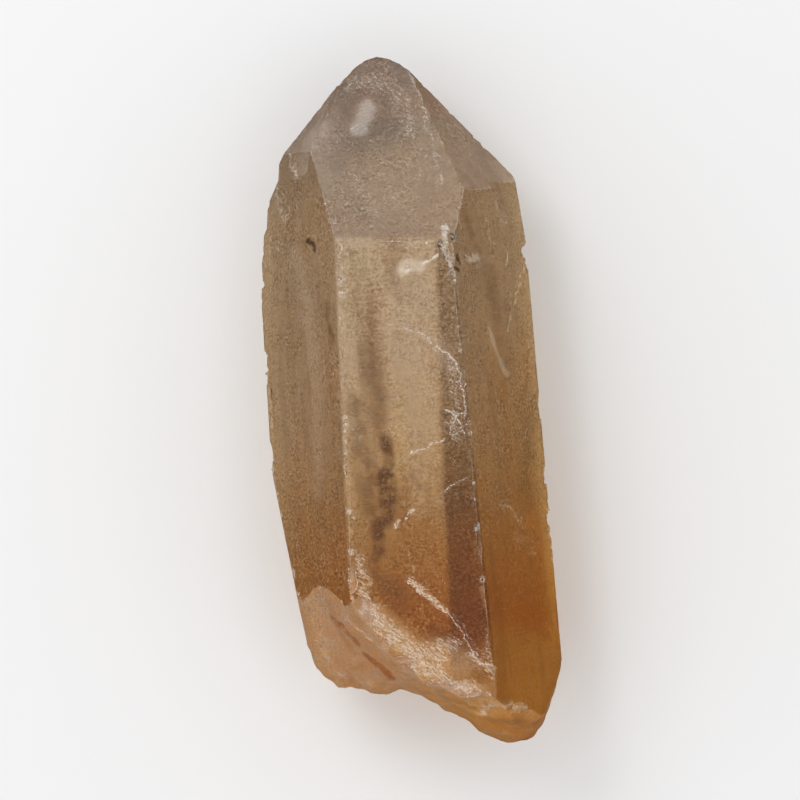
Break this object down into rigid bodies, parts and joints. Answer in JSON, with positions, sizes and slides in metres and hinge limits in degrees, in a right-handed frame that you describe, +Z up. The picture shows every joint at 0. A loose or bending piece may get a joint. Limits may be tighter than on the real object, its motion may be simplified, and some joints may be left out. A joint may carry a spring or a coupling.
{
  "type": "citrine crystal",
  "caption": "Large natural citrine point: a six-sided prism with stepped shoulders and a worn six-faced tip, broken across at the base.",
  "frame": {"origin": "centre of the bounding box in X and Y, at the lowest point, which is the flat back face that the crystal rests on", "axes": "+Y along the crystal to its point, +Z up out of the widest front face, +X to the crystal's right when its point is up"},
  "size_m": [0.0718, 0.1822, 0.061],
  "materials": {
    "citrine": "clear to cloudy smoky gold, satin frosted on the tip and bright on the long faces"
  },
  "bodies": {
    "root": {"citrine_crystal": "citrine"}
  },
  "joints": []
}
